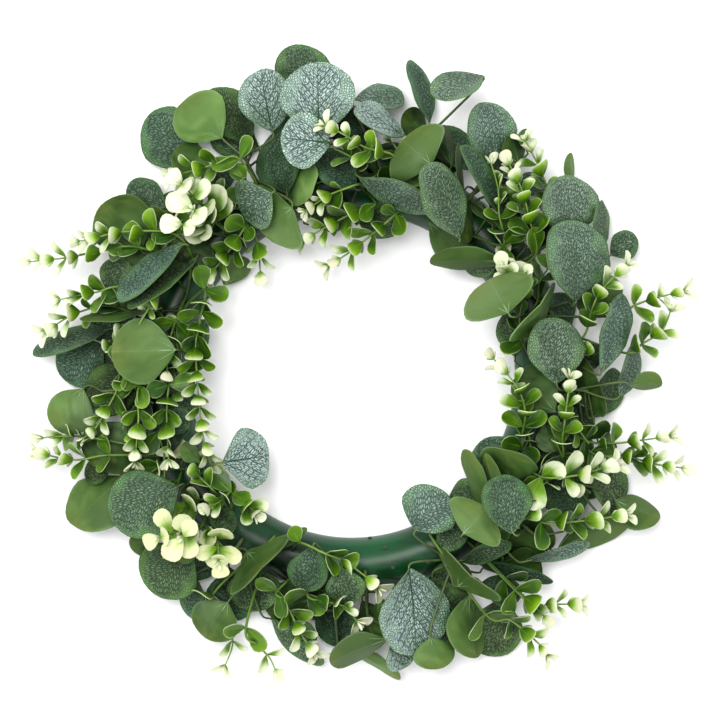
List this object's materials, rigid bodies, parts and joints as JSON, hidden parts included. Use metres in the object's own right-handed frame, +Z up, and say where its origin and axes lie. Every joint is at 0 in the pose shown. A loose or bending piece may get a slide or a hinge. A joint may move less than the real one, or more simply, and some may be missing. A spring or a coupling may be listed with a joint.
{
  "type": "eucalyptus wreath",
  "caption": "Artificial eucalyptus wreath: large netted round leaves and small paired glossy leaves fading to cream, plugged into a dark green half-round ring, lying flat to decorate a table.",
  "frame": {"origin": "centre of the wreath's box in plan, on the table that the ring's two rims stand on", "axes": "+Z up out of the wreath's face; +Y towards the top of the picture and +X towards its right, as seen from straight above"},
  "size_m": [0.5246, 0.4964, 0.0932],
  "materials": {
    "ring_plastic": "glossy dark green",
    "leaf_green": "satin, netted blue-green front and plain green back",
    "sprig_green": "glossy, yellow-green that fades to cream at the tips",
    "sprig_cream": "glossy ivory"
  },
  "bodies": {
    "root": {"leaf_spray_01": "leaf_green", "leaf_spray_02": "leaf_green", "leaf_spray_03": "leaf_green", "leaf_spray_04": "leaf_green", "leaf_spray_05": "leaf_green", "leaf_spray_06": "leaf_green", "leaf_spray_07": "leaf_green", "leaf_spray_08": "leaf_green", "leaf_spray_09": "leaf_green", "leaf_spray_10": "leaf_green", "leaf_spray_11": "leaf_green", "leaf_spray_12": "leaf_green", "leaf_spray_13": "leaf_green", "leaf_spray_14": "leaf_green", "leaf_spray_15": "leaf_green", "leaf_spray_16": "leaf_green", "leaf_spray_17": "leaf_green", "leaf_spray_18": "leaf_green", "leaf_spray_19": "leaf_green", "leaf_spray_20": "leaf_green", "leaf_spray_21": "leaf_green", "leaf_spray_22": "leaf_green", "leaf_spray_23": "leaf_green", "leaf_spray_24": "leaf_green", "ring": "ring_plastic", "sprig_bottom_left_tips": "sprig_green", "sprig_bottom_long": "sprig_green", "sprig_bottom_right": "sprig_green", "sprig_bottom_right_tips": "sprig_green", "sprig_bottom_whites": "sprig_green", "sprig_cream_rosettes": "sprig_cream", "sprig_hole_left": "sprig_green", "sprig_hole_right": "sprig_green", "sprig_hole_top": "sprig_green", "sprig_hole_top_right": "sprig_green", "sprig_hole_upper_left": "sprig_green", "sprig_hole_white": "sprig_cream", "sprig_left_fan": "sprig_green", "sprig_left_inner": "sprig_green", "sprig_left_long": "sprig_green", "sprig_left_low_tips": "sprig_green", "sprig_left_tips": "sprig_green", "sprig_left_top": "sprig_green", "sprig_right_low": "sprig_green", "sprig_right_spread": "sprig_green", "sprig_right_tips": "sprig_green", "sprig_right_upper": "sprig_green", "sprig_right_upright": "sprig_green", "sprig_right_white": "sprig_cream", "sprig_ring_left": "sprig_green", "sprig_top_right": "sprig_green", "sprig_upper_left": "sprig_green", "sprig_upper_right": "sprig_green", "sprig_upper_right_inner": "sprig_green", "sprig_white_rosettes": "sprig_cream"}
  },
  "joints": []
}
